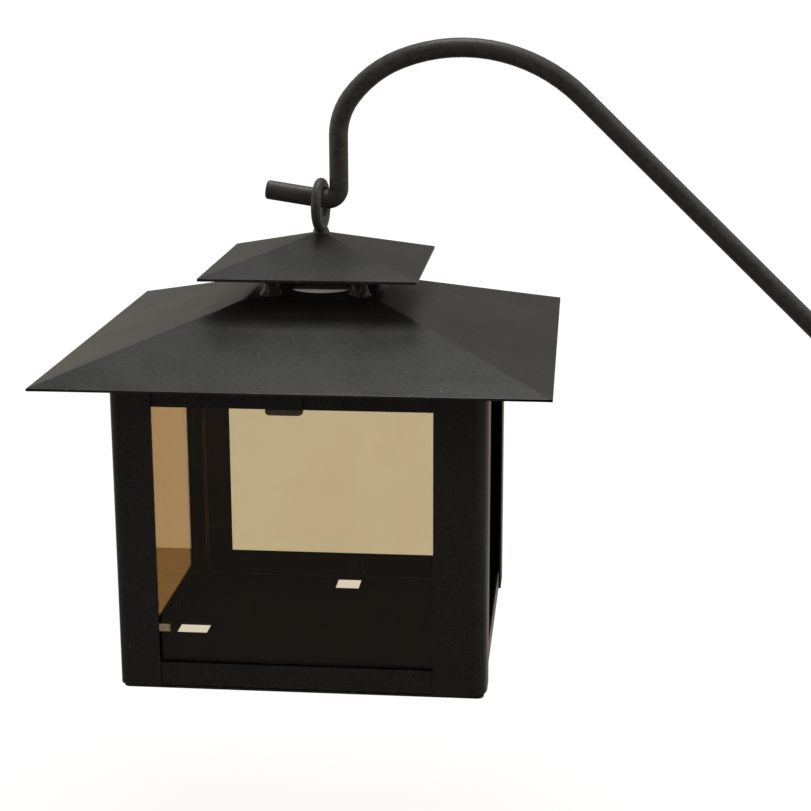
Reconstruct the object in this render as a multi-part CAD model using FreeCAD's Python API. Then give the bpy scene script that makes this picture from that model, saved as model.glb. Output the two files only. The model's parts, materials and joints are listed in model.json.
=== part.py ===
import FreeCAD, Part
import os
from math import cos, hypot, pi, radians, sin, tan

V = FreeCAD.Vector

# Grave lantern that hangs by a ring on the peg of a crook stake.
# Millimetres, +Z up, -Y is the front with the door, origin at the middle of the base's underside.

# Sheet and body
sheet = 1.0
body_width = 150.0
eave_height = 130.5
corner_radius = 4.0
post_leg = 19.0
top_frame_drop = 0.2
top_rim_height = 9.2
base_rim_height = 8.0
top_frame_opening = 118.0
rim_end_gap = 5.0

# Main roof
roof_width = 200.0
roof_rise = 22.0
roof_top_width = 56.0
vent_radius = 12.7

# Hood
hood_width = 89.0
hood_height = 33.0
hood_rise = 12.7
hood_top_width = 4.0
hood_post_diameter = 4.5
hood_post_spacing = 37.0
weld_radius = 3.8
weld_top_radius = 2.9
weld_height = 1.9

# Roof brackets
bracket_width = 14.0
bracket_spacing = 92.0
bracket_foot = 8.0
bracket_flange = 10.0
bracket_inset = 9.0

# Fixed panes, their lanced tabs, stops and top saddles
pane = 2.5
side_pane_inset = 8.8
back_pane_inset = 11.6
pane_gap = 0.4
tab_width = 11.0
tab_height = 11.0
slot_length = 13.5
side_tab_shift = -8.0
back_tab_shift = 3.0
stop_height = 11.3
stop_foot = 3.8
stop_end_gap = 4.0
saddle_width = 14.0
saddle_leg = 8.0

# Door
door_gap = 0.3
door_depth = 9.2
hinge_side_depth = 6.5
hinge_stile_width = 17.0
free_stile_width = 21.5
free_corner_radius = 6.5
stop_leg = 15.0
rail_overlap = 9.0
bottom_rail_height = 10.0
top_rail_height = 10.3
door_pane_overlap = 4.0
door_pane_edge = 3.0
clip_width = 10.0
clip_lip = 2.8
clip_spacing = 70.0
hinge_pin_diameter = 3.0
hinge_pin_reach = 4.0
hinge_ear = 1.5
running_clearance = 0.05
seat_clearance = 0.02

# Pull tab
pull_width = 15.0
pull_shift = -4.9
pull_below_rail = 0.3
pull_lip = 1.5
pull_corner = 2.0
rivet_diameter = 2.4
rivet_head_diameter = 4.0
rivet_head_height = 0.8
rivet_spacing = 8.0
rivet_drop = 2.6

# Ring and crook stake
ring_wire = 4.2
ring_radius = 9.3
ring_angle = 5.0
ring_clearance = 0.25
bar_diameter = 8.0
peg_tilt = 8.7
peg_reach = 23.0
peg_chamfer = 0.8
neck_offset = 7.8
heel_radius = 4.8
neck_length = 21.6
first_radius = 26.6
first_angle = 36.7
second_radius = 46.9
second_angle = 32.3
third_radius = 70.8
shank_slope = 43.9
shank_length = 373.0
spike_length = 95.0
point_length = 16.0

# Distance below which two places count as the same
match_gap = 0.001

# Sizes worked out from those above
half_body = body_width / 2
inner_half = half_body - sheet
frame_top = eave_height - top_frame_drop
frame_bottom = frame_top - sheet
roof_half = roof_width / 2
roof_top_half = roof_top_width / 2
roof_slope = roof_rise / (roof_half - roof_top_half)
roof_skin = sheet * hypot(1, roof_slope)
roof_top = eave_height + roof_rise + roof_skin
hood_half = hood_width / 2
hood_eave = eave_height + hood_height
hood_slope = hood_rise / (hood_half - hood_top_width / 2)
hood_skin = sheet * hypot(1, hood_slope)
hood_top = hood_eave + hood_rise + hood_skin
side_pane_face = half_body - side_pane_inset
back_pane_face = half_body - back_pane_inset
saddle_web = frame_bottom - sheet
pane_top = saddle_web - pane_gap
stop_plane = -half_body + door_depth + door_gap
door_bottom = sheet + door_gap
door_top = frame_bottom - door_gap
hinge_axis = half_body - corner_radius
rail_back = -inner_half + sheet
rail_half = half_body - hinge_stile_width + rail_overlap
rivet_places = (pull_shift - rivet_spacing / 2, pull_shift + rivet_spacing / 2)
rivet_height = door_top - rivet_drop
door_pane_front = rail_back + door_gap
door_pane_back = door_pane_front + pane
peg_radius = bar_diameter / 2
ring_bottom = hood_top + ring_wire / 2
ring_centre = ring_bottom + ring_radius
ring_seat = ring_centre + ring_radius - ring_wire / 2
peg_height = ring_seat - ring_clearance - peg_radius / cos(radians(peg_tilt))


def block(x0, x1, y0, y1, z0, z1):
    """Box between two corners."""
    return Part.makeBox(x1 - x0, y1 - y0, z1 - z0, V(x0, y0, z0))


def square_corners(half, z):
    """Corners of a level square about the lantern's axis."""
    return [V(-half, -half, z), V(half, -half, z), V(half, half, z), V(-half, half, z)]


def frustum(low_half, high_half, z, rise):
    """Solid square pyramid cut off at its top, with flat sides."""
    low = square_corners(low_half, z)
    high = square_corners(high_half, z + rise)
    outlines = [low, high]
    for i in range(4):
        j = (i + 1) % 4
        outlines.append([low[i], low[j], high[j], high[i]])
    faces = [Part.Face(Part.makePolygon(points + points[:1])) for points in outlines]
    return Part.makeSolid(Part.makeShell(faces))


def rounded_prism(half, radius, z0, z1):
    """Square prism with rounded upright edges."""
    prism = block(-half, half, -half, half, z0, z1)
    upright = [e for e in prism.Edges if e.BoundBox.ZLength > match_gap]
    return prism.makeFillet(radius, upright)


def profile_along_y(points, y0, y1):
    """Solid with an outline in X and Z, drawn out along Y."""
    corners = [V(x, y0, z) for x, z in points]
    face = Part.Face(Part.makePolygon(corners + corners[:1]))
    return face.extrude(V(0, y1 - y0, 0))


def turned(shape, degrees):
    """Copy of a shape turned about the lantern's upright axis."""
    copy = shape.copy()
    copy.rotate(V(0, 0, 0), V(0, 0, 1), degrees)
    return copy


def mirrored(shape):
    """Copy of a shape on the other side of the plane through the lantern's middle."""
    return shape.mirror(V(0, 0, 0), V(1, 0, 0))


def joined(first, *others):
    """One solid out of touching shapes."""
    return first.fuse(list(others)).removeSplitter()


def roof_shell(half, top_half, z, rise, skin):
    """Pyramid of sheet with an upright cut edge at the eave and a closed flat top."""
    inner = frustum(half, top_half, z, rise)
    outer = inner.copy()
    outer.translate(V(0, 0, skin))
    edge = block(-half, half, -half, half, z, z + skin)
    return joined(outer, edge).cut(inner)


def corner_wall(radius, z0, z1):
    """Upright square wall of bent sheet, from which posts and stiles are cut."""
    outer = rounded_prism(half_body, radius, z0, z1)
    inner = rounded_prism(inner_half, radius - sheet, z0, z1)
    return outer.cut(inner)


# Roofs
def make_main_roof():
    roof = roof_shell(roof_half, roof_top_half, eave_height, roof_rise, roof_skin)
    vent = Part.makeCylinder(vent_radius, 2 * roof_skin, V(0, 0, roof_top - 1.5 * roof_skin))
    return roof.cut(vent)


def make_ring_wire(wire_radius):
    ring = Part.makeTorus(ring_radius, wire_radius, V(0, 0, ring_centre), V(1, 0, 0))
    return turned(ring, -ring_angle)


def make_hood():
    shell = roof_shell(hood_half, hood_top_width / 2, hood_eave, hood_rise, hood_skin)
    foot = hood_top - hood_skin / 2
    bead = Part.makeCone(weld_radius, weld_top_radius, weld_height + hood_skin / 2, V(0, 0, foot))
    return joined(shell, bead).cut(make_ring_wire(ring_wire / 2 + seat_clearance))


def make_hood_posts():
    under_hood = frustum(hood_half, hood_top_width / 2, hood_eave, hood_rise)
    below = block(-hood_half, hood_half, -hood_half, hood_half, roof_top, hood_eave)
    room = joined(under_hood, below)
    offset = hood_post_spacing / 2
    posts = []
    for x in (-offset, offset):
        for y in (-offset, offset):
            rod = Part.makeCylinder(hood_post_diameter / 2, hood_top - roof_top, V(x, y, roof_top))
            posts.append(rod.common(room))
    return Part.makeCompound(posts)


def make_roof_brackets():
    def underside(x):
        return eave_height + (roof_half - x) * roof_slope

    riser = half_body - bracket_inset
    tip = riser - bracket_flange
    outline = [
        (riser + bracket_foot, frame_top),
        (riser + bracket_foot, frame_top + sheet),
        (riser, frame_top + sheet),
        (riser, underside(riser)),
        (tip, underside(tip)),
        (tip, underside(tip) - roof_skin),
        (riser - sheet, underside(riser - sheet) - roof_skin),
        (riser - sheet, frame_top),
    ]
    brackets = []
    for y in (-bracket_spacing / 2, bracket_spacing / 2):
        right = profile_along_y(outline, y - bracket_width / 2, y + bracket_width / 2)
        brackets += [right, mirrored(right)]
    return Part.makeCompound(brackets)


# Fixed body
def make_back_post():
    leg_start = half_body - post_leg
    corner = block(-half_body, -leg_start, leg_start, half_body, 0, frame_bottom)
    return corner_wall(corner_radius, 0, frame_bottom).common(corner)


def make_front_post():
    """Flat strip down the side, with a leg turned in above the floor for the door to shut on."""
    leg_end = -half_body + post_leg
    side = block(-half_body, -inner_half, stop_plane, leg_end, 0, frame_bottom)
    stop_end = -half_body + stop_leg
    stop = block(-half_body, stop_end, stop_plane, stop_plane + sheet, sheet, frame_bottom)
    return joined(side, stop)


def rim(z0, z1):
    """Upright rim on the left, back and right, just inside the posts."""
    front = stop_plane + sheet
    back = inner_half - rim_end_gap
    side = block(-inner_half, -inner_half + sheet, front, back, z0, z1)
    rear = block(-back, back, inner_half - sheet, inner_half, z0, z1)
    return side, rear, mirrored(side)


def pin_hole(z0, z1, clearance):
    radius = hinge_pin_diameter / 2 + clearance
    return Part.makeCylinder(radius, z1 - z0, V(-hinge_axis, -hinge_axis, z0))


def make_base_tray():
    floor = rounded_prism(inner_half, corner_radius - sheet, 0, sheet)
    tray = joined(floor, *rim(sheet, sheet + base_rim_height))
    places = (
        (back_pane_face, back_tab_shift, 0),
        (side_pane_face, side_tab_shift, 90),
        (side_pane_face, -side_tab_shift, -90),
    )
    for face, shift, side in places:
        low = shift - tab_width / 2
        high = shift + tab_width / 2
        back = face - pane_gap
        front = back - sheet
        slot = block(low, high, front - slot_length, front, 0, sheet)
        tab = block(low, high, front, back, sheet, sheet + tab_height)
        tray = joined(tray.cut(turned(slot, side)), turned(tab, side))
    return tray.cut(pin_hole(0, sheet, seat_clearance))


def make_top_frame():
    plate = rounded_prism(half_body, corner_radius, frame_bottom, frame_top)
    half_opening = top_frame_opening / 2
    opening = block(-half_opening, half_opening, -half_opening, half_opening, frame_bottom, frame_top)
    frame = joined(plate.cut(opening), *rim(frame_bottom - top_rim_height, frame_bottom))
    return frame.cut(pin_hole(frame_bottom, frame_top, seat_clearance))


# Fixed panes
def make_back_glass():
    half = side_pane_face - door_gap
    return block(-half, half, back_pane_face, back_pane_face + pane, sheet, pane_top)


def make_left_glass():
    front = stop_plane + sheet + door_gap
    back = back_pane_face + pane
    return block(-side_pane_face - pane, -side_pane_face, front, back, sheet, pane_top)


def make_glass_stop(face):
    """Upright strip with a foot behind a pane, drawn at the back of the lantern."""
    half = half_body - post_leg + stop_end_gap
    front = face + pane + door_gap
    leg = block(-half, half, front, front + sheet, sheet, sheet + stop_height)
    foot = block(-half, half, front + sheet, front + stop_foot, sheet, 2 * sheet)
    return joined(leg, foot)


def make_glass_saddle(face):
    """Bent strip astride a pane's upper edge, drawn at the back of the lantern."""
    half = saddle_width / 2
    low = saddle_web - saddle_leg
    inner_back = face - pane_gap
    outer_front = face + pane + door_gap
    web = block(-half, half, inner_back - sheet, outer_front + sheet, saddle_web, frame_bottom)
    inner = block(-half, half, inner_back - sheet, inner_back, low, saddle_web)
    outer = block(-half, half, outer_front, outer_front + sheet, low, saddle_web)
    return joined(web, inner, outer)


# Door
def make_door_stile(radius, width, depth):
    """Left stile: bent sheet with a rounded outer edge and a return of the given depth."""
    wall = corner_wall(radius, door_bottom, door_top)
    front = -half_body
    region = block(-half_body, -half_body + width, front, front + depth, door_bottom, door_top)
    return wall.common(region)


def make_door_left_stile():
    stile = make_door_stile(corner_radius, hinge_stile_width, hinge_side_depth)
    inside = rounded_prism(inner_half, corner_radius - sheet, door_bottom, door_top)
    ear_end = -rail_half - door_gap
    back = -half_body + hinge_side_depth
    for low in (door_bottom, door_top - hinge_ear):
        ear = block(-inner_half, ear_end, -inner_half, back, low, low + hinge_ear).common(inside)
        stile = joined(stile, ear)
    return stile.cut(pin_hole(0, frame_top, running_clearance))


def make_door_rail(z0, z1):
    return block(-rail_half, rail_half, -inner_half, rail_back, z0, z1)


def make_door_glass():
    half = half_body - hinge_stile_width + door_pane_overlap
    low = door_bottom + bottom_rail_height - door_pane_edge
    high = door_top - top_rail_height + door_pane_edge
    return block(-half, half, door_pane_front, door_pane_back, low, high)


def make_door_glass_clips():
    half = clip_width / 2
    lip_back = door_pane_back + door_gap + sheet
    bottom_edge = door_bottom + bottom_rail_height - door_pane_edge
    top_edge = door_top - top_rail_height + door_pane_edge
    clips = []
    for edge, way in ((bottom_edge, -1), (top_edge, 1)):
        web_near = edge + way * door_gap
        web_far = web_near + way * sheet
        web_low, web_high = sorted((web_near, web_far))
        lip_low, lip_high = sorted((web_far, edge - way * clip_lip))
        for x in (-clip_spacing / 2, clip_spacing / 2):
            web = block(x - half, x + half, rail_back, lip_back, web_low, web_high)
            lip = block(x - half, x + half, lip_back - sheet, lip_back, lip_low, lip_high)
            clips.append(joined(web, lip))
    return Part.makeCompound(clips)


def make_door_hinge_pins():
    radius = hinge_pin_diameter / 2
    reach = door_gap + hinge_ear + hinge_pin_reach
    lower = Part.makeCylinder(radius, sheet + reach, V(-hinge_axis, -hinge_axis, 0))
    upper = Part.makeCylinder(radius, sheet + reach, V(-hinge_axis, -hinge_axis, frame_bottom - reach))
    return Part.makeCompound([lower, upper])


def with_rivet_holes(shape, front):
    """Sheet with the holes of both rivets, bored from its front face."""
    radius = rivet_diameter / 2 + seat_clearance
    for x in rivet_places:
        start = V(x, front, rivet_height)
        shape = shape.cut(Part.makeCylinder(radius, sheet, start, V(0, 1, 0)))
    return shape


def make_pull_tab():
    """Tab on the top rail's front, with rounded lower corners and a lip turned out at its end."""
    low = door_top - top_rail_height - pull_below_rail
    half = pull_width / 2
    face = -inner_half
    front = face - sheet
    outline = [
        (face, door_top),
        (face, low),
        (front - pull_lip, low - pull_lip),
        (front - pull_lip - sheet / 2, low - pull_lip + sheet / 2),
        (front, low + sheet / 2),
        (front, door_top),
    ]
    corners = [V(-half, y, z) for y, z in outline]
    tab = Part.Face(Part.makePolygon(corners + corners[:1])).extrude(V(pull_width, 0, 0))
    low_corners = []
    for edge in tab.Edges:
        middle = edge.CenterOfMass
        at_side = abs(abs(middle.x) - half) < match_gap
        if at_side and edge.Length < sheet and middle.z < low:
            low_corners.append(edge)
    tab = tab.makeFillet(pull_corner, low_corners)
    tab.translate(V(pull_shift, 0, 0))
    return with_rivet_holes(tab, front)


def make_pull_tab_rivets():
    front = -inner_half - sheet
    radius = rivet_diameter / 2
    head_radius = rivet_head_diameter / 2
    inward = V(0, 1, 0)
    rivets = []
    for x in rivet_places:
        tip = V(x, front - rivet_head_height, rivet_height)
        shank = Part.makeCylinder(radius, 2 * sheet, V(x, front, rivet_height), inward)
        head = Part.makeCone(radius, head_radius, rivet_head_height, tip, inward)
        tail = Part.makeCone(head_radius, radius, rivet_head_height, V(x, rail_back, rivet_height), inward)
        rivets.append(joined(shank, head, tail))
    return Part.makeCompound(rivets)


# Crook stake
def bent_path(start, heading, moves):
    """Edges of a path in X and Z. A move is (length, 0) for a straight run or (radius, turn) for a bend."""
    x, z = start
    edges = []
    for size, turn in moves:
        here = V(x, 0, z)
        if turn == 0:
            x += size * cos(heading)
            z += size * sin(heading)
            edges.append(Part.LineSegment(here, V(x, 0, z)).toShape())
            continue
        side = pi / 2 if turn > 0 else -pi / 2
        cx = x + size * cos(heading + side)
        cz = z + size * sin(heading + side)
        spots = []
        for part in (0.5, 1.0):
            ray = heading - side + radians(turn) * part
            spots.append(V(cx + size * cos(ray), 0, cz + size * sin(ray)))
        edges.append(Part.Arc(here, spots[0], spots[1]).toShape())
        x, z = spots[1].x, spots[1].z
        heading += radians(turn)
    return edges, V(x, 0, z), heading


def make_crook_stake():
    tilt = radians(peg_tilt)
    heel_turn = 90 + peg_tilt
    corner_height = peg_height - neck_offset * tan(tilt)
    heel_reach = heel_radius * tan(radians(heel_turn) / 2)
    tip = V(-peg_reach, 0, peg_height + peg_reach * tan(tilt))
    peg_run = hypot(neck_offset - tip.x, tip.z - corner_height) - heel_reach
    moves = [
        (peg_run, 0),
        (heel_radius, heel_turn),
        (neck_length, 0),
        (first_radius, -first_angle),
        (second_radius, -second_angle),
        (third_radius, -(90 + shank_slope - first_angle - second_angle)),
        (shank_length + spike_length, 0),
    ]
    edges, end, heading = bent_path((tip.x, tip.z), -tilt, moves)
    along = V(cos(tilt), 0, -sin(tilt))
    section = Part.Wire(Part.makeCircle(peg_radius, tip, along))
    bar = Part.Wire(edges).makePipeShell([section], True, True)
    down = V(cos(heading), 0, sin(heading))
    point = Part.makeCone(peg_radius, 0, point_length, end, down)
    end_rim = [e for e in bar.Edges if e.Closed and e.CenterOfMass.distanceToPoint(tip) < peg_chamfer]
    return joined(bar.makeChamfer(peg_chamfer, end_rim), point)


def make_nodes():
    """Every piece by its node's name."""
    left_stop = turned(make_glass_stop(side_pane_face), 90)
    left_saddle = turned(make_glass_saddle(side_pane_face), 90)
    saddles = [make_glass_saddle(back_pane_face), left_saddle, mirrored(left_saddle)]
    right_stile = mirrored(make_door_stile(free_corner_radius, free_stile_width, door_depth))
    left_post = make_front_post()
    back_post = make_back_post()
    left_glass = make_left_glass()
    top_rail = make_door_rail(door_top - top_rail_height, door_top)
    return {
        "crook_stake": make_crook_stake(),
        "hanging_ring": make_ring_wire(ring_wire / 2),
        "hood": make_hood(),
        "hood_posts": make_hood_posts(),
        "main_roof": make_main_roof(),
        "roof_brackets": make_roof_brackets(),
        "top_frame": make_top_frame(),
        "base_tray": make_base_tray(),
        "front_left_post": left_post,
        "front_right_post": mirrored(left_post),
        "back_left_post": back_post,
        "back_right_post": mirrored(back_post),
        "left_glass": left_glass,
        "back_glass": make_back_glass(),
        "right_glass": mirrored(left_glass),
        "left_glass_stop": left_stop,
        "back_glass_stop": make_glass_stop(back_pane_face),
        "right_glass_stop": mirrored(left_stop),
        "glass_top_clips": Part.makeCompound(saddles),
        "door_left_stile": make_door_left_stile(),
        "door_right_stile": right_stile,
        "door_top_rail": with_rivet_holes(top_rail, -inner_half),
        "door_bottom_rail": make_door_rail(door_bottom, door_bottom + bottom_rail_height),
        "door_glass": make_door_glass(),
        "door_glass_clips": make_door_glass_clips(),
        "door_hinge_pins": make_door_hinge_pins(),
        "pull_tab": make_pull_tab(),
        "pull_tab_rivets": make_pull_tab_rivets(),
    }


os.makedirs("parts", exist_ok=True)
for name, shape in make_nodes().items():
    shape.exportStep("parts/" + name + ".step")
    solids = len(shape.Solids)
    print(name, "solids", solids, "valid", shape.isValid(), "volume", round(shape.Volume, 1))
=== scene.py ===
import json
from math import cos, pi, radians, sin

import bmesh
import bpy
from mathutils import Matrix, Vector, noise as lumps


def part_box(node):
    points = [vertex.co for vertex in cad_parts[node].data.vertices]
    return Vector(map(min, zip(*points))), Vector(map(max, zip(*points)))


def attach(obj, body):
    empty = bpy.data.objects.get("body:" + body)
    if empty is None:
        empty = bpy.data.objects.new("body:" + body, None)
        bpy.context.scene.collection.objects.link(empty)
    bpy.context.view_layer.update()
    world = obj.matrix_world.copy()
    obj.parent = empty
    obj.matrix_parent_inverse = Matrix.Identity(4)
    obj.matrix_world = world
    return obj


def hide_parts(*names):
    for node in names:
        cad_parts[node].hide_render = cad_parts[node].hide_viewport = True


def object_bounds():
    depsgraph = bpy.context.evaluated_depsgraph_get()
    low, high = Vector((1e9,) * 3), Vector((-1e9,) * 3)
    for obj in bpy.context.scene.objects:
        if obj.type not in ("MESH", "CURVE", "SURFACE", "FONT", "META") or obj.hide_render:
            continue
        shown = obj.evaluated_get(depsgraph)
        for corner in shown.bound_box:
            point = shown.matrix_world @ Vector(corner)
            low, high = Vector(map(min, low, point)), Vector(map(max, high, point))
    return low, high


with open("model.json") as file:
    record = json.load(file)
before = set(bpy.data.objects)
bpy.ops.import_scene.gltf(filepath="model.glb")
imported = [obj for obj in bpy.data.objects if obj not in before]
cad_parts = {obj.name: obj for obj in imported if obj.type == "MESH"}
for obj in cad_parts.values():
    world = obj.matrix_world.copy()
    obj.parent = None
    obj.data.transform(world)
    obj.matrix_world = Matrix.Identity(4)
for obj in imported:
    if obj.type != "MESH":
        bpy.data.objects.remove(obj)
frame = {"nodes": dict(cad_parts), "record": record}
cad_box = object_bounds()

# Camera, read from the corners of the two roofs
camera_place = Vector((0.10882, -0.75824, 0.29754))
camera_yaw = radians(5.521)
camera_pitch = radians(14.364)
camera_roll = radians(-0.145)
camera_lens = 81.17
camera_sensor = 36.0

# Rounded sheet, glass and bar edges, and the wider folds of the two roofs
sheet_edge = 0.00022
glass_edge = 0.0003
bar_edge = 0.0003
rivet_edge = bar_edge / 2
edge_segments = 2
fold_edge = 0.0010
fold_segments = 3
shortest_fold = 0.008
fold_angles = (radians(12), radians(36))
sharp_angle = radians(30)
flat_angle = radians(0.5)
merge_gap = 1e-6

# How far the coat may be chipped on rounded edges and on folds
edge_chipping = 1.0
fold_chipping = 0.5

# Room inside the lantern and round its vent, whose faces get coats of painted light: a brownish tint for
# amber light through the panes, and paler coats for light in the shade under the hood and the roof
inside_half = 0.0742
inside_top = 0.1302
floor_level = 0.0006
vent_edge = 0.0135
lit_strip_half = 0.0205

# Share of a face's direction from which it counts as looking inwards, as lying, and as quite flat
inward_share = 0.2
lying_share = 0.7
flat_share = 0.99

# Lumpy welds at the feet of the hood's posts and of the ring
post_radius = 0.00225
post_bead = {"core": 0.0018, "foot": 0.0042, "head": 0.0026, "height": 0.0052}
ring_bead = {"core": 0.0005, "foot": 0.0027, "head": 0.0016, "height": 0.0024}
weld_lump = 0.4
weld_lumps_per_metre = 420.0
weld_rings = 8
weld_steps = 36

# Smallest area of a pane's wide side
least_pane_side = 0.002

# Upper end of the pull tab's turned-out lip
lip_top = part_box("door_top_rail")[0].z

# Coat: range of noise that is drawn out, share of fine grain in its tone, chips, dust and specks
noise_ends = (0.3, 0.7)
fine_share = 0.78
grain_depth = 0.0002
chip_amount = 0.6
chips_per_metre = 330.0
chip_ends = (0.62, 0.70)
lying_ends = (0.55, 1.0)
dust_patches_per_metre = 38.0
dust_ends = (0.42, 0.8)
dust_colour = (0.16, 0.145, 0.12)
speck_ends = (0.018, 0.034)

# Glass: slants between which its tint deepens, smears and waves
glass_bend = 1.5
slant_ends = (0.1, 0.775)
smear_ends = (0.45, 0.8)
smear_share = 0.07
waves_per_metre = 14.0
wave_strength = 0.05
wave_depth = 0.0004

# Lamp
lamp_place = Vector((0.02, 0.24, 1.5))
lamp_aim = Vector((0.0, 0.0, 0.12))
lamp_side = 0.6
lamp_watts = 9.0

# Floor, how white it is to the eye near and far, through panes and in reflections
floor_half = 4.0
floor_drop = 0.0005
floor_colour = (0.19, 0.165, 0.155, 1.0)
floor_ends = (0.5, 1.6)
floor_whites = (0.905, 0.985)
pane_white = 0.785
mirror_white = 0.36
untinted_white = 0.76
mirror_tint = (1.0, 0.93, 0.80)
floor_behind = (0.0, 0.25)

# Room light, by the X, Y and Z of the direction that it comes from
overhead_height = (0.25, 0.70)
overhead_level = 0.33
overhead_side = (-0.28, 0.0)
overhead_gain = 1.05
behind_depth = (-0.3, 1.0)
behind_level = 0.2
behind_side = (-0.35, 0.0)
behind_gains = (1.24, 0.55)
left_side = (-0.45, -0.24)
left_level = 0.28
left_height = (0.0, 0.4)
flank_side = (0.45, 0.95)
flank_level = 0.85
least_level = 0.045
tint_height = (0.05, 0.6)
low_tint = (1.0, 0.92, 0.76)
high_tint = (1.0, 1.0, 0.95)
backdrop_depth = (0.0, 0.2)
white = (1.0, 1.0, 1.0)

# Bounces below which a ray counts as having made none
no_bounce = 0.5


# Building blocks for node trees
def add_node(tree, kind, **settings):
    """Node of a kind, with some of its settings given."""
    node = tree.nodes.new("ShaderNode" + kind)
    for key, value in settings.items():
        setattr(node, key, value)
    return node


def set_inputs(node, **values):
    """Plain values of a node's inputs, with spaces in their names as underscores."""
    for key, value in values.items():
        node.inputs[key.replace("_", " ")].default_value = value


def feed(tree, value, socket):
    """Gives an input a number, a colour as red, green and blue, or another node's output."""
    if isinstance(value, (int, float)):
        socket.default_value = value
    elif isinstance(value, tuple):
        socket.default_value = (*value, 1.0)
    else:
        tree.links.new(value, socket)


def start_group(name, inputs, outputs):
    """Shader node group with named number inputs and outputs, and its two end nodes."""
    group = bpy.data.node_groups.new(name, "ShaderNodeTree")
    for label, value in inputs.items():
        socket = group.interface.new_socket(label, in_out="INPUT", socket_type="NodeSocketFloat")
        socket.default_value = value
    for label in outputs:
        group.interface.new_socket(label, in_out="OUTPUT", socket_type="NodeSocketFloat")
    return group, group.nodes.new("NodeGroupInput"), group.nodes.new("NodeGroupOutput")


def noise(tree, place, scale, detail, roughness=0.5):
    """Value of a noise, at a number of lumps per metre that is a number or an output."""
    node = add_node(tree, "TexNoise")
    set_inputs(node, Detail=detail, Roughness=roughness)
    tree.links.new(place, node.inputs["Vector"])
    feed(tree, scale, node.inputs["Scale"])
    return node.outputs["Fac"]


def spread(tree, value, low, high, to_low=0.0, to_high=1.0):
    """A value's range from low to high, drawn out to another range."""
    node = add_node(tree, "MapRange")
    for name, number in (("From Min", low), ("From Max", high), ("To Min", to_low), ("To Max", to_high)):
        node.inputs[name].default_value = number
    tree.links.new(value, node.inputs["Value"])
    return node.outputs["Result"]


def calc(tree, operation, first, second):
    """Sum, product or the like of two outputs or numbers."""
    node = add_node(tree, "Math", operation=operation)
    feed(tree, first, node.inputs[0])
    feed(tree, second, node.inputs[1])
    return node.outputs["Value"]


def blend_colours(tree, mask, first, second):
    """Colour between two, by a mask."""
    node = add_node(tree, "Mix", data_type="RGBA")
    tree.links.new(mask, node.inputs[0])
    feed(tree, first, node.inputs[6])
    feed(tree, second, node.inputs[7])
    return node.outputs[2]


# Effects that several finishes share
def make_coat_grain():
    """Fine orange-peel grain of a baked coat, with slow drifts of tone and gloss."""
    group, start, end = start_group(
        "coat_grain", {"Grains per metre": 1500.0, "Drifts per metre": 25.0}, ("Tone", "Gloss", "Height"))
    place = add_node(group, "TexCoord").outputs["Object"]
    grain = noise(group, place, start.outputs["Grains per metre"], 2.0, 0.6)
    drift = noise(group, place, start.outputs["Drifts per metre"], 5.0, 0.62)
    fine = spread(group, grain, *noise_ends)
    slow = spread(group, drift, *noise_ends)
    fine_tone = calc(group, "MULTIPLY", fine, fine_share)
    slow_tone = calc(group, "MULTIPLY", slow, 1.0 - fine_share)
    group.links.new(calc(group, "ADD", fine_tone, slow_tone), end.inputs["Tone"])
    group.links.new(slow, end.inputs["Gloss"])
    group.links.new(grain, end.inputs["Height"])
    return group


def make_edge_wear():
    """Where the coat is thin or chipped along cut and folded edges."""
    group, start, end = start_group("edge_wear", {"Amount": 0.5}, ("Mask",))
    place = add_node(group, "TexCoord").outputs["Object"]
    edge = add_node(group, "Attribute", attribute_name="edge").outputs["Fac"]
    patches = spread(group, noise(group, place, chips_per_metre, 3.0, 0.7), *chip_ends)
    worn = calc(group, "MULTIPLY", calc(group, "MULTIPLY", edge, patches), start.outputs["Amount"])
    group.links.new(worn, end.inputs["Mask"])
    return group


def make_settled_dust():
    """Thin dust on faces that look up."""
    group, start, end = start_group("settled_dust", {"Amount": 0.3}, ("Mask",))
    coordinates = add_node(group, "TexCoord")
    upward = add_node(group, "SeparateXYZ")
    group.links.new(coordinates.outputs["Normal"], upward.inputs["Vector"])
    lying = spread(group, upward.outputs["Z"], *lying_ends)
    cloud = noise(group, coordinates.outputs["Object"], dust_patches_per_metre, 8.0, 0.68)
    patches = spread(group, cloud, *dust_ends)
    dust = calc(group, "MULTIPLY", calc(group, "MULTIPLY", lying, patches), start.outputs["Amount"])
    group.links.new(dust, end.inputs["Mask"])
    return group


def make_stray_specks():
    """Pin-head specks of dust and bare metal, far apart."""
    group, start, end = start_group("stray_specks", {"Specks per metre": 75.0}, ("Mask",))
    cells = add_node(group, "TexVoronoi")
    group.links.new(add_node(group, "TexCoord").outputs["Object"], cells.inputs["Vector"])
    group.links.new(start.outputs["Specks per metre"], cells.inputs["Scale"])
    group.links.new(spread(group, cells.outputs["Distance"], *speck_ends, 1.0, 0.0), end.inputs["Mask"])
    return group


def make_glass_film():
    """Faint smears on a pane, and the slow waves of drawn glass."""
    group, start, end = start_group("glass_film", {"Smears per metre": 30.0}, ("Film", "Wave"))
    place = add_node(group, "TexCoord").outputs["Object"]
    smear = noise(group, place, start.outputs["Smears per metre"], 6.0, 0.65)
    group.links.new(spread(group, smear, *smear_ends), end.inputs["Film"])
    group.links.new(noise(group, place, waves_per_metre, 1.0), end.inputs["Wave"])
    return group


coat_grain = make_coat_grain()
edge_wear = make_edge_wear()
settled_dust = make_settled_dust()
stray_specks = make_stray_specks()
glass_film = make_glass_film()


# Finishes
def start_material(name):
    """New material with an empty tree, its shader and its surface output."""
    material = bpy.data.materials.new(name)
    material.use_nodes = True
    tree = material.node_tree
    tree.nodes.clear()
    shader = add_node(tree, "BsdfPrincipled")
    surface = add_node(tree, "OutputMaterial")
    tree.links.new(shader.outputs["BSDF"], surface.inputs["Surface"])
    return material, tree, shader


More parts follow.
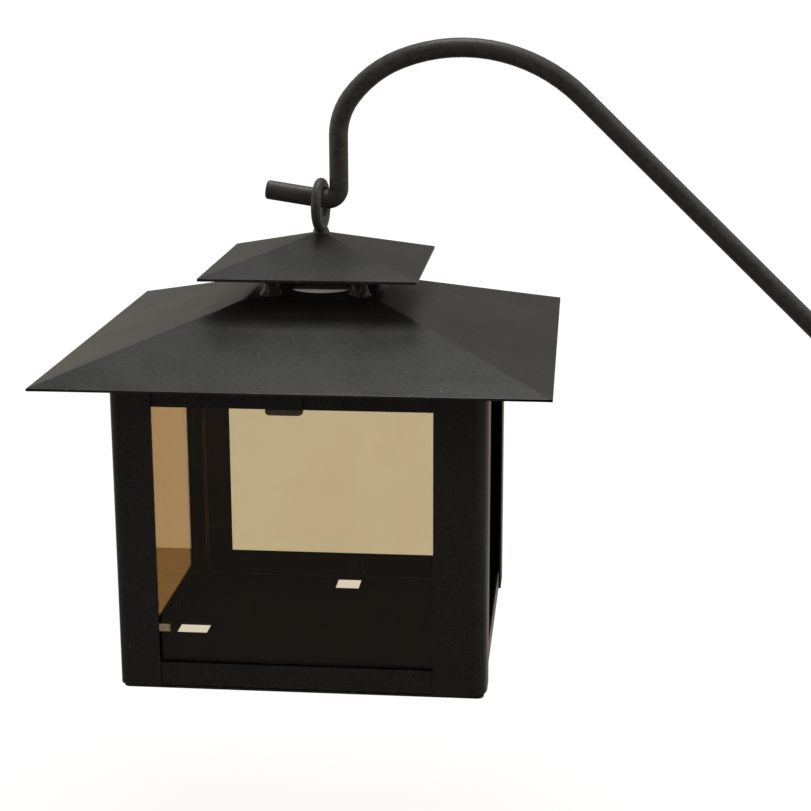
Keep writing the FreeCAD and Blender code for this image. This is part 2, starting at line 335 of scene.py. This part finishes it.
def place_group(tree, group, **values):
    """A shared effect in a material, with its own values."""
    node = tree.nodes.new("ShaderNodeGroup")
    node.node_tree = group
    set_inputs(node, **values)
    return node


def set_relief(tree, shader, height, strength, depth):
    """Fine unevenness of a surface, from the heights of an effect."""
    relief = add_node(tree, "Bump")
    set_inputs(relief, Strength=strength, Distance=depth)
    tree.links.new(height, relief.inputs["Height"])
    tree.links.new(relief.outputs["Normal"], shader.inputs["Normal"])


def make_coat(name, deep, pale, bare, gloss, grain, bump, dust, shine=0.5):
    """Baked coat: two close tones, a satin between two glosses, grain, thin edges, dust and specks."""
    material, tree, shader = start_material(name)
    set_inputs(shader, Specular_IOR_Level=shine)
    skin = place_group(tree, coat_grain, Grains_per_metre=grain)
    wear = place_group(tree, edge_wear, Amount=chip_amount)
    film = place_group(tree, settled_dust, Amount=dust)
    specks = place_group(tree, stray_specks)
    colour = blend_colours(tree, skin.outputs["Tone"], deep, pale)
    colour = blend_colours(tree, film.outputs["Mask"], colour, dust_colour)
    colour = blend_colours(tree, wear.outputs["Mask"], colour, bare)
    colour = blend_colours(tree, specks.outputs["Mask"], colour, bare)
    tree.links.new(colour, shader.inputs["Base Color"])
    tree.links.new(spread(tree, skin.outputs["Gloss"], 0.0, 1.0, *gloss), shader.inputs["Roughness"])
    set_relief(tree, shader, skin.outputs["Height"], bump, grain_depth)
    return material


def make_glass(name, tint, deep_tint, smears, dullness):
    """Pane whose tint deepens where it is seen aslant, with faint smears and slow waves."""
    material, tree, shader = start_material(name)
    film = place_group(tree, glass_film, Smears_per_metre=smears)
    set_inputs(shader, Transmission_Weight=1.0, IOR=glass_bend, Metallic=0.0)
    slant = spread(tree, add_node(tree, "LayerWeight").outputs["Facing"], *slant_ends)
    shade = blend_colours(tree, slant, tint, deep_tint)
    smeared = calc(tree, "MULTIPLY", film.outputs["Film"], smear_share)
    shade = blend_colours(tree, smeared, shade, deep_tint)
    tree.links.new(shade, shader.inputs["Base Color"])
    tree.links.new(spread(tree, film.outputs["Film"], 0.0, 1.0, *dullness), shader.inputs["Roughness"])
    set_relief(tree, shader, film.outputs["Wave"], wave_strength, wave_depth)
    return material


finishes = {
    "sheet_paint": make_coat(
        "black_sheet_coat", deep=(0.008, 0.008, 0.0077), pale=(0.041, 0.041, 0.0393),
        bare=(0.24, 0.23, 0.21), gloss=(0.32, 0.40), grain=800.0, bump=0.05, dust=0.12),
    "bar_paint": make_coat(
        "black_bar_paint", deep=(0.050, 0.0495, 0.048), pale=(0.110, 0.101, 0.091),
        bare=(0.16, 0.145, 0.12), gloss=(0.34, 0.48), grain=420.0, bump=0.5, dust=0.04, shine=0.28),
    "fastener_steel": make_coat(
        "black_rivet_coat", deep=(0.018, 0.018, 0.017), pale=(0.028, 0.028, 0.027),
        bare=(0.12, 0.11, 0.10), gloss=(0.34, 0.44), grain=1800.0, bump=0.2, dust=0.05),
    "amber_glass": make_glass(
        "amber_pane", tint=(0.793, 0.716, 0.547), deep_tint=(0.33, 0.126, 0.0235),
        smears=26.0, dullness=(0.0, 0.03)),
}
cut_glass = make_glass(
    "cut_pane_edge", tint=(0.20, 0.10, 0.035), deep_tint=(0.05, 0.018, 0.005),
    smears=200.0, dullness=(0.45, 0.70))
# Dull coat inside the room: its brownish tint stands in for amber light through the panes, painted light
amber_light_inside_coat = make_coat(
    "painted_amber_light_inside_coat", deep=(0.017, 0.0120, 0.0112), pale=(0.029, 0.0208, 0.0194),
    bare=(0.05, 0.044, 0.038), gloss=(0.70, 0.85), grain=1100.0, bump=0.3, dust=0.02, shine=0.0)
# Paler, nearly unglossed coats on the flat top under the hood and on the roof's underside and vent: their
# lighter colour stands in for light where the hood and roof leave only shade, painted light
painted_light_coat_values = {
    "deep": (0.034, 0.031, 0.027), "pale": (0.059, 0.056, 0.050), "bare": (0.10, 0.09, 0.08),
    "gloss": (0.50, 0.60), "grain": 1100.0, "bump": 0.3, "dust": 0.0,
}
flat_top_light_coat = make_coat("painted_light_flat_top_coat", **painted_light_coat_values, shine=0.05)
underside_light_coat = make_coat("painted_light_underside_coat", **painted_light_coat_values, shine=0.002)
# Pale tan coat on the pull tab's lip: painted highlight, standing in for light that the lip catches
lip_highlight_coat = make_coat(
    "painted_highlight_lip_coat", deep=(0.27, 0.22, 0.16), pale=(0.50, 0.44, 0.345),
    bare=(0.45, 0.42, 0.37), gloss=(0.40, 0.55), grain=1500.0, bump=0.3, dust=0.05)
edge_sizes = {
    "sheet_paint": sheet_edge,
    "bar_paint": bar_edge,
    "fastener_steel": rivet_edge,
    "amber_glass": glass_edge,
}


# Dressed copies of the solids
def finished_piece(name, shape, slot, body):
    """Object made of a bmesh, with its finish, riding on a body."""
    mesh = bpy.data.meshes.new(name)
    shape.to_mesh(mesh)
    shape.free()
    copied_normals = mesh.attributes.get("custom_normal")
    if copied_normals:
        mesh.attributes.remove(copied_normals)
    piece = bpy.data.objects.new(name, mesh)
    bpy.context.scene.collection.objects.link(piece)
    mesh.materials.append(finishes[slot])
    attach(piece, body)
    return piece


def looks_inside(face):
    """Whether a face looks into the room between the panes."""
    middle = face.calc_center_median()
    if max(abs(middle.x), abs(middle.y)) > inside_half or not floor_level < middle.z < inside_top:
        return False
    inward = Vector((-middle.x, -middle.y, 0)).normalized()
    return face.normal.dot(inward) > inward_share or abs(face.normal.z) > lying_share


def painted_light_coat_index(face):
    """Coat of a face of the main roof: 1 on the flat top, 2 in the vent and above the room, 0 elsewhere; 1
    and 2 are paler coats of painted light, standing in for light in the shade under the hood and the roof.
    """
    middle = face.calc_center_median()
    if max(abs(middle.x), abs(middle.y)) > inside_half:
        return 0
    if face.normal.z > flat_share:
        return int(abs(middle.x) < lit_strip_half)
    in_vent = Vector((middle.x, middle.y)).length < vent_edge
    return 2 if in_vent or face.normal.z < -lying_share else 0


def on_cut_edge(face):
    """Whether a face of a pane is on its ground edge, and not one of its two wide sides."""
    return face.calc_area() < least_pane_side


def on_pull_lip(face):
    """Whether a face is on the lip of the pull tab, whose pale coat stands in for light that the turned-out
    lip catches, a painted highlight.
    """
    return face.calc_center_median().z < lip_top


def further_coats(node, slot):
    """Coats of a piece beside its slot's finish, and what numbers the coat of a face."""
    if slot == "amber_glass":
        return [cut_glass], on_cut_edge
    if node == "pull_tab":
        return [lip_highlight_coat], on_pull_lip
    if node == "main_roof":
        return [flat_top_light_coat, underside_light_coat], painted_light_coat_index
    if slot == "sheet_paint":
        return [amber_light_inside_coat], looks_inside
    return [], None


def round_edges(shape, edges, size, segments):
    """New faces of edges rounded to a size."""
    made = bmesh.ops.bevel(
        shape, geom=edges, offset=size, offset_type="OFFSET", affect="EDGES",
        segments=segments, profile=0.5, material=-1, clamp_overlap=True)
    return made["faces"]


def fold_lines(shape):
    """Long edges of a roof where its sheet is folded over a shallow angle."""
    lines = []
    for line in shape.edges:
        if line.is_manifold and line.calc_length() > shortest_fold:
            if fold_angles[0] < line.calc_face_angle() < fold_angles[1]:
                lines.append(line)
    return lines


def split_along_walls(shape):
    """Parts a roof's sheet where the body's walls stand below it, and beside the vent."""
    across = Vector((1, 0, 0))
    along = Vector((0, 1, 0))
    for way, offset in ((across, inside_half), (along, inside_half), (across, lit_strip_half)):
        for place in (-way * offset, way * offset):
            whole = shape.verts[:] + shape.edges[:] + shape.faces[:]
            bmesh.ops.bisect_plane(shape, geom=whole, dist=merge_gap, plane_co=place, plane_no=way)


def dress(node, slot, body):
    """Copy of a solid with whole faces and small rounded edges, in the solid's place."""
    shape = bmesh.new()
    shape.from_mesh(frame["nodes"][node].data)
    bmesh.ops.remove_doubles(shape, verts=shape.verts, dist=merge_gap)
    bmesh.ops.dissolve_limit(shape, angle_limit=flat_angle, verts=shape.verts, edges=shape.edges)
    edge = shape.faces.layers.float.new("edge")
    if node == "main_roof":
        split_along_walls(shape)
    if node in ("main_roof", "hood"):
        for face in round_edges(shape, fold_lines(shape), fold_edge, fold_segments):
            face[edge] = fold_chipping
    corners = [e for e in shape.edges if e.is_manifold and e.calc_face_angle() > sharp_angle]
    rounded = round_edges(shape, corners, edge_sizes[slot], edge_segments)
    is_glass = slot == "amber_glass"
    for face in shape.faces:
        face.smooth = not is_glass
    for face in rounded:
        face[edge] = edge_chipping
        face.smooth = True
    coats, coat_of = further_coats(node, slot)
    if coats:
        shape.normal_update()
        for face in shape.faces:
            face.material_index = int(coat_of(face))
    piece = finished_piece(node + "_dressed", shape, slot, body)
    for coat in coats:
        piece.data.materials.append(coat)
    if not is_glass:
        piece.data.set_sharp_from_angle(angle=sharp_angle)
        even = piece.modifiers.new("even_shading", "WEIGHTED_NORMAL")
        even.keep_sharp = True
    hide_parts(node)


body_of = {}
for body, members in frame["record"]["behaviour"]["bodies"].items():
    for node in members:
        body_of[node] = body
for subpart in frame["record"]["subparts"]:
    dress(subpart["node"], subpart["material_slot"], body_of[subpart["node"]])


# Welds that the solids leave plain
def bead_outline(core, foot, head, height):
    """Half section of a bead: its skin from the foot up to the head, closed along a core."""
    skin = []
    for ring in range(weld_rings + 1):
        share = ring / weld_rings
        skin.append((foot + (head - foot) * share, height * share))
    return [(core, 0.0)] + skin + [(core, height)]


def make_weld(name, place, outline, body):
    """Lumpy bead of weld, turned from an outline of distances from its axis and heights."""
    shape = bmesh.new()
    corners = [shape.verts.new((distance, 0, height)) for distance, height in outline]
    lines = [shape.edges.new(pair) for pair in zip(corners, corners[1:] + corners[:1])]
    bmesh.ops.spin(
        shape, geom=corners + lines, cent=(0, 0, 0), axis=(0, 0, 1), dvec=(0, 0, 0),
        angle=2 * pi, steps=weld_steps, use_merge=True, use_duplicate=False)
    bmesh.ops.remove_doubles(shape, verts=shape.verts, dist=merge_gap)
    bmesh.ops.recalc_face_normals(shape, faces=shape.faces)
    bmesh.ops.translate(shape, verts=shape.verts, vec=place)
    for corner in shape.verts:
        away = Vector((corner.co.x - place.x, corner.co.y - place.y, 0))
        corner.co += away * weld_lump * lumps.noise(corner.co * weld_lumps_per_metre)
    for face in shape.faces:
        face.smooth = True
    finished_piece(name, shape, "bar_paint", body)


def make_welds():
    """Beads at the feet of the hood's posts and of the ring."""
    low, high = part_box("hood_posts")
    reach = high.x - post_radius
    bead = bead_outline(**post_bead)
    for side, x in (("left", -reach), ("right", reach)):
        for end, y in (("front", -reach), ("back", reach)):
            make_weld("hood_post_weld_%s_%s" % (end, side), Vector((x, y, low.z)), bead, "lantern")
    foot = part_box("hanging_ring")[0].z
    make_weld("ring_weld", Vector((0, 0, foot)), bead_outline(**ring_bead), "lantern")


make_welds()


# Stage
def backdrop_mask(tree, behind, echo):
    """Where a ray sees white: straight or through panes on all sides, and by way of a reflection behind."""
    seen = add_node(tree, "LightPath")
    through = seen.outputs["Is Transmission Ray"]
    bounces = calc(tree, "ADD", seen.outputs["Glossy Depth"], seen.outputs["Diffuse Depth"])
    straight = calc(tree, "MULTIPLY", through, calc(tree, "LESS_THAN", bounces, no_bounce))
    plain = calc(tree, "MAXIMUM", seen.outputs["Is Camera Ray"], straight)
    mirrored = calc(tree, "MULTIPLY", calc(tree, "MAXIMUM", through, seen.outputs[echo]), behind)
    unscattered = calc(tree, "LESS_THAN", seen.outputs["Diffuse Depth"], no_bounce)
    return calc(tree, "MAXIMUM", plain, calc(tree, "MULTIPLY", mirrored, unscattered))


def make_floor_finish():
    """Pale floor: white to the eye and through glass, and it keeps a soft shadow."""
    material = bpy.data.materials.new("pale_floor")
    material.use_nodes = True
    tree = material.node_tree
    tree.nodes.clear()
    place = add_node(tree, "TexCoord").outputs["Object"]
    parts = add_node(tree, "SeparateXYZ")
    tree.links.new(place, parts.inputs["Vector"])
    direct = backdrop_mask(tree, spread(tree, parts.outputs["Y"], *floor_behind), "Is Glossy Ray")
    seen = add_node(tree, "LightPath")
    through = spread(tree, seen.outputs["Is Transmission Ray"], 0.0, 1.0, mirror_white, pane_white)
    away = add_node(tree, "VectorMath", operation="LENGTH")
    tree.links.new(place, away.inputs[0])
    plain = spread(tree, away.outputs["Value"], *floor_ends, *floor_whites)
    plain = calc(tree, "MULTIPLY", seen.outputs["Is Camera Ray"], plain)
    strength = calc(tree, "MAXIMUM", through, plain)
    tint = blend_colours(tree, spread(tree, strength, mirror_white, untinted_white), mirror_tint, white)
    glow = add_node(tree, "Emission")
    tree.links.new(strength, glow.inputs["Strength"])
    tree.links.new(tint, glow.inputs["Color"])
    shade = add_node(tree, "BsdfDiffuse")
    set_inputs(shade, Color=floor_colour)
    both = add_node(tree, "AddShader")
    choice = add_node(tree, "MixShader")
    surface = add_node(tree, "OutputMaterial")
    tree.links.new(glow.outputs["Emission"], both.inputs[0])
    tree.links.new(shade.outputs["BSDF"], both.inputs[1])
    tree.links.new(direct, choice.inputs["Fac"])
    tree.links.new(shade.outputs["BSDF"], choice.inputs[1])
    tree.links.new(both.outputs["Shader"], choice.inputs[2])
    tree.links.new(choice.outputs["Shader"], surface.inputs["Surface"])
    return material


def make_floor():
    """Level floor just below the stake's point."""
    shape = bmesh.new()
    bmesh.ops.create_grid(shape, x_segments=1, y_segments=1, size=floor_half)
    bmesh.ops.translate(shape, verts=shape.verts, vec=(0, 0, cad_box[0].z - floor_drop))
    mesh = bpy.data.meshes.new("floor")
    shape.to_mesh(mesh)
    shape.free()
    floor = bpy.data.objects.new("floor", mesh)
    bpy.context.scene.collection.objects.link(floor)
    mesh.materials.append(make_floor_finish())


def make_world():
    """Soft room light: bright above, behind and at both flanks, dim in front, and white to the eye."""
    world = bpy.data.worlds.new("studio")
    bpy.context.scene.world = world
    world.use_nodes = True
    tree = world.node_tree
    tree.nodes.clear()
    parts = add_node(tree, "SeparateXYZ")
    tree.links.new(add_node(tree, "TexCoord").outputs["Generated"], parts.inputs["Vector"])
    x = parts.outputs["X"]
    y = parts.outputs["Y"]
    z = parts.outputs["Z"]
    above = spread(tree, z, *overhead_height, 0.0, overhead_level)
    above = calc(tree, "MULTIPLY", above, spread(tree, x, *overhead_side, 0.0, overhead_gain))
    behind = spread(tree, y, *behind_depth, 0.0, behind_level)
    behind = calc(tree, "MULTIPLY", behind, spread(tree, x, *behind_side, *behind_gains))
    left = spread(tree, x, *left_side, left_level, 0.0)
    left = calc(tree, "MULTIPLY", left, spread(tree, z, *left_height, 1.0, 0.0))
    flanks = spread(tree, calc(tree, "ABSOLUTE", x, 0.0), *flank_side, 0.0, flank_level)
    flanks = calc(tree, "ADD", flanks, least_level)
    level = calc(tree, "ADD", calc(tree, "ADD", above, behind), calc(tree, "ADD", left, flanks))
    colour = blend_colours(tree, spread(tree, z, *tint_height), low_tint, high_tint)
    direct = backdrop_mask(tree, spread(tree, y, *backdrop_depth), "Is Transmission Ray")
    room = add_node(tree, "Background")
    tree.links.new(colour, room.inputs["Color"])
    tree.links.new(level, room.inputs["Strength"])
    backdrop = add_node(tree, "Background")
    set_inputs(backdrop, Color=(*white, 1.0), Strength=1.0)
    choice = add_node(tree, "MixShader")
    surface = add_node(tree, "OutputWorld")
    tree.links.new(direct, choice.inputs["Fac"])
    tree.links.new(room.outputs["Background"], choice.inputs[1])
    tree.links.new(backdrop.outputs["Background"], choice.inputs[2])
    tree.links.new(choice.outputs["Shader"], surface.inputs["Surface"])


def make_lamp():
    """Wide soft lamp above the lantern, a little behind it."""
    data = bpy.data.lights.new("overhead", "AREA")
    data.shape = "SQUARE"
    data.size = lamp_side
    data.energy = lamp_watts
    lamp = bpy.data.objects.new("overhead", data)
    bpy.context.scene.collection.objects.link(lamp)
    lamp.location = lamp_place
    lamp.rotation_euler = (lamp_aim - lamp_place).to_track_quat("-Z", "Y").to_euler()


def make_camera():
    """Camera at the photograph's place, turned by its yaw, pitch and roll."""
    data = bpy.data.cameras.new("camera")
    data.lens = camera_lens
    data.sensor_width = camera_sensor
    camera = bpy.data.objects.new("camera", data)
    bpy.context.scene.collection.objects.link(camera)
    forward = Vector((
        -sin(camera_yaw) * cos(camera_pitch), cos(camera_yaw) * cos(camera_pitch), -sin(camera_pitch)))
    level = Vector((cos(camera_yaw), sin(camera_yaw), 0))
    upright = level.cross(forward)
    right = cos(camera_roll) * level + sin(camera_roll) * upright
    up = cos(camera_roll) * upright - sin(camera_roll) * level
    turn = Matrix((right, up, -forward)).transposed().to_4x4()
    camera.matrix_world = Matrix.Translation(camera_place) @ turn
    bpy.context.scene.camera = camera


make_floor()
make_world()
make_lamp()
make_camera()
bpy.context.scene.view_settings.view_transform = "Standard"
